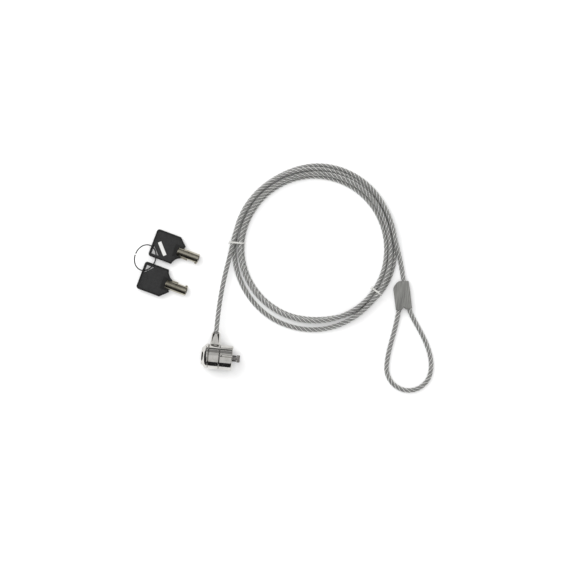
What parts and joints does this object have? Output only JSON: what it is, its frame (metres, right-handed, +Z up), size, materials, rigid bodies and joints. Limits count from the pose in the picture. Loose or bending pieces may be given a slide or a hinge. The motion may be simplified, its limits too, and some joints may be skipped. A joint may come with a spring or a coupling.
{
  "type": "laptop cable lock",
  "caption": "Keyed T-bar security lock on a coiled wire-rope cable with an anchor loop, and tubular keys on a wire ring.",
  "frame": {"origin": "centre of the lock's nose face, on the lock's axis", "axes": "+X out of the nose along the lock's axis, +Y the way the cable boss points, +Z up from the table that the lock, coil and keys lie on"},
  "size_m": [0.2646, 0.1897, 0.0216],
  "materials": {
    "chrome": "bright nickel-chrome plating, light brushing",
    "steel": "turned steel",
    "brass": "turned brass",
    "rope": "stranded steel rope under a clear smooth jacket",
    "aluminium": "pressed aluminium",
    "grey_sleeve": "matte moulded grey, faint flow streaks",
    "clear_tie": "thin clear plastic",
    "ring_wire": "drawn spring wire",
    "black_plastic": "satin black moulded plastic",
    "white_plastic": "smooth white plastic",
    "nickel": "nickel plating, slightly warm"
  },
  "bodies": {
    "cable": {"anchor_collar": "chrome", "cable_stop": "steel", "cable_lead": "rope", "cable_coil": "rope", "cable_tail": "rope", "cable_eye": "rope", "crimp_sleeve": "aluminium", "crimp_boot": "grey_sleeve", "tie_left": "clear_tie", "tie_right": "clear_tie"},
    "lock_head": {"front_housing": "chrome", "guide_plate": "chrome", "lock_barrel": "steel", "stator": "brass", "barrel_dowel": "steel", "snap_ring": "steel", "rear_cap": "chrome", "pin_springs": "steel"},
    "plug": {"plug": "steel", "keyway_post": "steel", "t_bar": "chrome"},
    "key_pins": {"key_pins": "brass"},
    "driver_pins": {"driver_pins": "steel"},
    "key_ring": {"key_ring": "ring_wire"},
    "key_a": {"key_a_bow": "black_plastic", "key_a_tube": "nickel", "key_a_insert": "white_plastic"},
    "key_b": {"key_b_bow": "black_plastic", "key_b_tube": "nickel"}
  },
  "joints": [
    {"name": "head_swivel", "type": "hinge", "parent": "cable", "child": "lock_head", "pos_m": [-0.01595, 0, 0], "axis": [1, 0, 0], "continuous": true},
    {"name": "key_turn", "type": "hinge", "parent": "lock_head", "child": "plug", "pos_m": [-0.0157, 0, 0], "axis": [1, 0, 0], "range_deg": [0, 90]},
    {"name": "key_pin_slide", "type": "slide", "parent": "plug", "child": "key_pins", "axis": [-1, 0, 0], "range_m": [0, 0.0015]},
    {"name": "driver_pin_slide", "type": "slide", "parent": "lock_head", "child": "driver_pins", "axis": [1, 0, 0], "range_m": [0, 0.0015], "stiffness_N_per_m": 120, "springref_m": -0.001, "deforming": ["pin_springs"]},
    {"name": "ring_lift", "type": "slide", "parent": "cable", "child": "key_ring", "axis": [0, 0, 1], "range_m": [0, 0.05]},
    {"name": "key_a_tip", "type": "hinge", "parent": "key_ring", "child": "key_a", "pos_m": [-0.07531, 0.08548, -0.00685], "axis": [-0.2588, -0.9659, 0], "range_deg": [0, 30]},
    {"name": "key_b_tip", "type": "hinge", "parent": "key_ring", "child": "key_b", "pos_m": [-0.07969, 0.06904, -0.00685], "axis": [-0.2588, -0.9659, 0], "range_deg": [0, 30]}
  ]
}
